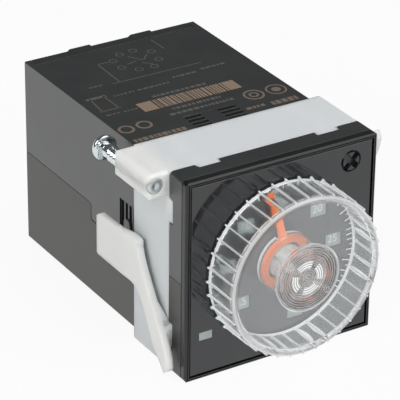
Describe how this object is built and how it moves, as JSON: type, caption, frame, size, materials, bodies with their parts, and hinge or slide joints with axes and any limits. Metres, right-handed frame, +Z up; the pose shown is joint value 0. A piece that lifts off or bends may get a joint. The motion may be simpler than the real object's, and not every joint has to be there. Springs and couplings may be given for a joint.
{
  "type": "plug-in time relay",
  "caption": "Square panel time relay with a clear setting knob, selector, clip-on nylon mounting bracket with clamp screws, and a round plug base at the rear.",
  "frame": {"origin": "centre of the flange's rear face, where the panel's front face lies", "axes": "+Y through the panel towards the plug pins, +Z up, +X to the right seen from the front"},
  "size_m": [0.0598, 0.0964, 0.048],
  "materials": {
    "case_black": "fine satin moulding",
    "case_black_lower": "fine satin moulding",
    "plug_plate_black": "satin moulding",
    "plated_brass": "nickel plated",
    "frame_black": "satin moulding",
    "smoked_fascia": "polished",
    "frosted_guide": "frosted",
    "lamp_resin": "moulded resin",
    "disc_white": "matt",
    "selector_black": "satin",
    "clear_polycarbonate": "clear polished plastic",
    "pointer_orange": "satin",
    "shaft_acetal": "satin",
    "potentiometer_body": "moulded",
    "board_green": "solder mask",
    "switch_grey": "moulded",
    "connector_black": "moulded",
    "relay_cover": "moulded",
    "transformer_core": "varnished",
    "capacitor_sleeve": "shrunk sleeve",
    "chip_black": "moulded",
    "natural_nylon": "satin moulding",
    "zinc_steel": "bright zinc plate"
  },
  "bodies": {
    "housing": {"upper_shell": "case_black", "lower_shell": "case_black_lower", "rear_base": "plug_plate_black", "contact_pins": "plated_brass", "front_frame": "frame_black", "fascia": "smoked_fascia", "light_guide": "frosted_guide", "lamp": "lamp_resin", "potentiometer": "potentiometer_body", "front_board": "board_green", "range_switch": "switch_grey", "main_board": "board_green", "board_connector": "connector_black", "output_relay": "relay_cover", "transformer": "transformer_core", "capacitor": "capacitor_sleeve", "timer_chip": "chip_black", "base_board": "board_green"},
    "setting_knob": {"knob": "clear_polycarbonate", "pointer": "pointer_orange", "pot_shaft": "shaft_acetal"},
    "dial_disc": {"number_disc": "disc_white"},
    "range_selector": {"selector": "selector_black"},
    "bracket": {"mounting_bracket": "natural_nylon"},
    "left_screw": {"clamp_screw_left": "zinc_steel"},
    "right_screw": {"clamp_screw_right": "zinc_steel"}
  },
  "joints": [
    {"name": "knob_turn", "type": "hinge", "parent": "housing", "child": "setting_knob", "pos_m": [0, 0, 0], "axis": [0, 1, 0], "range_deg": [-119.2, 144.8]},
    {"name": "disc_turn", "type": "hinge", "parent": "housing", "child": "dial_disc", "pos_m": [0, 0, 0], "axis": [0, 1, 0], "range_deg": [0, 21.15]},
    {"name": "selector_turn", "type": "hinge", "parent": "housing", "child": "range_selector", "pos_m": [0.01723, 0, 0.0188], "axis": [0, 1, 0], "range_deg": [-133, 0]},
    {"name": "bracket_slide", "type": "slide", "parent": "housing", "child": "bracket", "axis": [0, 1, 0], "range_m": [0, 0.00825]},
    {"name": "left_screw_travel", "type": "slide", "parent": "bracket", "child": "left_screw", "axis": [0, -1, 0], "range_m": [0, 0.0066]},
    {"name": "right_screw_travel", "type": "slide", "parent": "bracket", "child": "right_screw", "axis": [0, -1, 0], "range_m": [0, 0.0066]}
  ],
  "couplings": [
    {"joint": "selector_turn", "follows": "disc_turn", "ratio": -6.2857}
  ]
}
